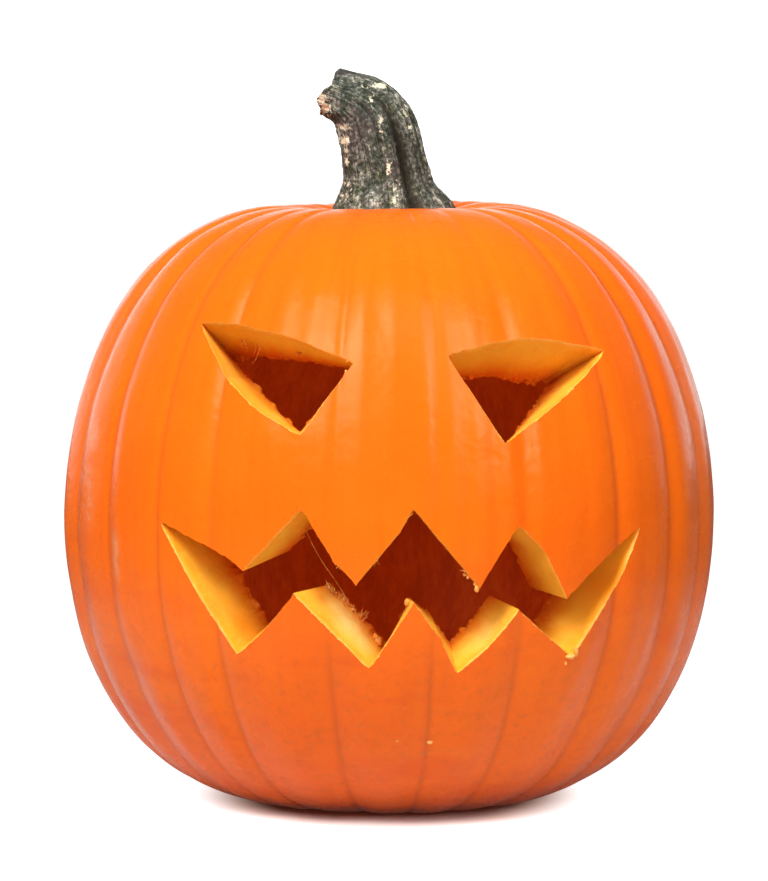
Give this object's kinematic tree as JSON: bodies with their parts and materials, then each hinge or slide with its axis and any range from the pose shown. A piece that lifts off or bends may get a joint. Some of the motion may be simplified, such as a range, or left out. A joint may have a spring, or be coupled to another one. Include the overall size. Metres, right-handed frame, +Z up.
{
  "type": "carved pumpkin lantern",
  "caption": "Hollow ribbed pumpkin with slanted eyes and a jagged grinning mouth cut through its thick wall, and a bent woody stem on top.",
  "frame": {"origin": "on the floor, under the middle of the pumpkin", "axes": "+Z up through the stem; the carved face looks along -Y, and +X is to the right of someone who looks at the face"},
  "size_m": [0.2805, 0.281, 0.3126],
  "materials": {
    "pumpkin_flesh": "waxy orange rind, yellow-orange flesh on the cut faces",
    "stem_wood": "dry, ridged, grey-green to brown with pale worn patches"
  },
  "bodies": {
    "root": {"pumpkin": "pumpkin_flesh", "stem": "stem_wood"}
  },
  "joints": []
}
